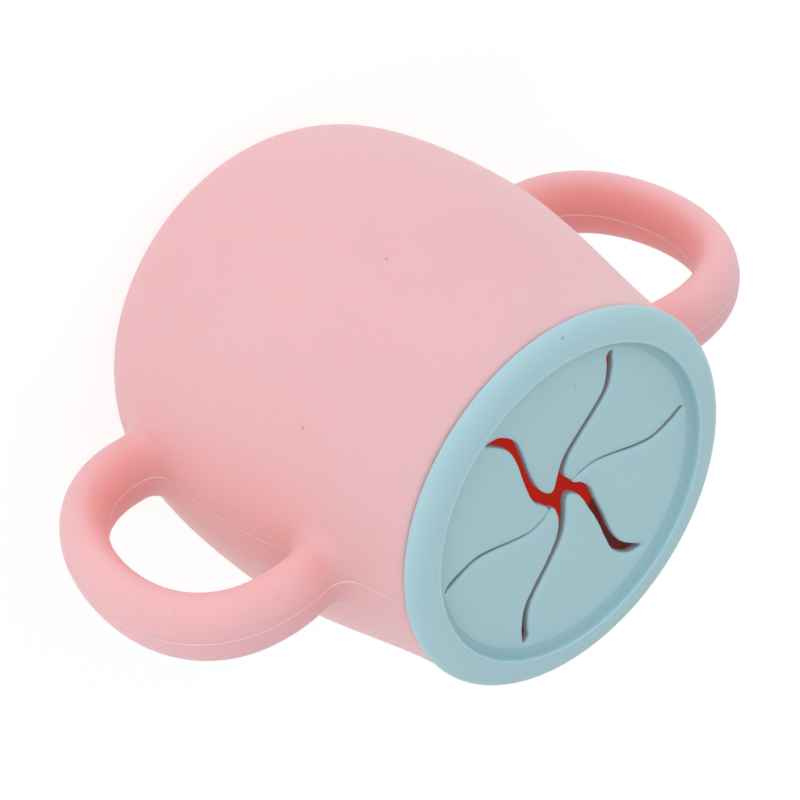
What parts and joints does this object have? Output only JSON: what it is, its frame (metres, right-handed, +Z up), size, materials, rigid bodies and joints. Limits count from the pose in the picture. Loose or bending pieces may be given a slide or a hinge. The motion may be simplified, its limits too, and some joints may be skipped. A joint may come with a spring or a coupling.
{
  "type": "toddler training cup",
  "caption": "Soft silicone toddler cup, barrel shaped, with loop handles and a snug lid whose curved slits leave bending flaps.",
  "frame": {"origin": "centre of the flat base, where the cup stands on a surface", "axes": "+Z up along the cup's axis to the lid; +X to the right, from handle to handle; +Y from the front to the back"},
  "size_m": [0.1352, 0.0822, 0.0834],
  "materials": {
    "body_silicone": "matte moulded silicone, pale pink",
    "lid_silicone": "matte moulded silicone, pale blue-grey"
  },
  "bodies": {
    "cup": {"cup_body": "body_silicone"},
    "lid": {"lid_rim": "lid_silicone"},
    "flap_1": {"lid_flap_1": "lid_silicone"},
    "flap_2": {"lid_flap_2": "lid_silicone"},
    "flap_3": {"lid_flap_3": "lid_silicone"},
    "flap_4": {"lid_flap_4": "lid_silicone"},
    "flap_5": {"lid_flap_5": "lid_silicone"},
    "flap_6": {"lid_flap_6": "lid_silicone"}
  },
  "joints": [
    {"name": "lid_lift", "type": "slide", "parent": "cup", "child": "lid", "axis": [0, 0, 1], "range_m": [0, 0.06]},
    {"name": "flap_1_bend", "type": "hinge", "parent": "lid", "child": "flap_1", "pos_m": [0.01698, 0.00959, 0.08059], "axis": [0.4917, -0.8708, 0], "range_deg": [-45, 60], "stiffness_Nm_per_rad": 0.002},
    {"name": "flap_2_bend", "type": "hinge", "parent": "lid", "child": "flap_2", "pos_m": [0.0001, 0.0195, 0.08059], "axis": [1, -0.0052, 0], "range_deg": [-45, 60], "stiffness_Nm_per_rad": 0.002},
    {"name": "flap_3_bend", "type": "hinge", "parent": "lid", "child": "flap_3", "pos_m": [-0.0171, 0.00938, 0.08059], "axis": [0.481, 0.8767, 0], "range_deg": [-45, 60], "stiffness_Nm_per_rad": 0.002},
    {"name": "flap_4_bend", "type": "hinge", "parent": "lid", "child": "flap_4", "pos_m": [-0.0169, -0.00974, 0.08059], "axis": [-0.4992, 0.8665, 0], "range_deg": [-45, 60], "stiffness_Nm_per_rad": 0.002},
    {"name": "flap_5_bend", "type": "hinge", "parent": "lid", "child": "flap_5", "pos_m": [-0.00048, -0.01949, 0.08059], "axis": [-0.9997, 0.0244, 0], "range_deg": [-45, 60], "stiffness_Nm_per_rad": 0.002},
    {"name": "flap_6_bend", "type": "hinge", "parent": "lid", "child": "flap_6", "pos_m": [0.01683, -0.00985, 0.08059], "axis": [-0.5053, -0.863, 0], "range_deg": [-45, 60], "stiffness_Nm_per_rad": 0.002}
  ]
}
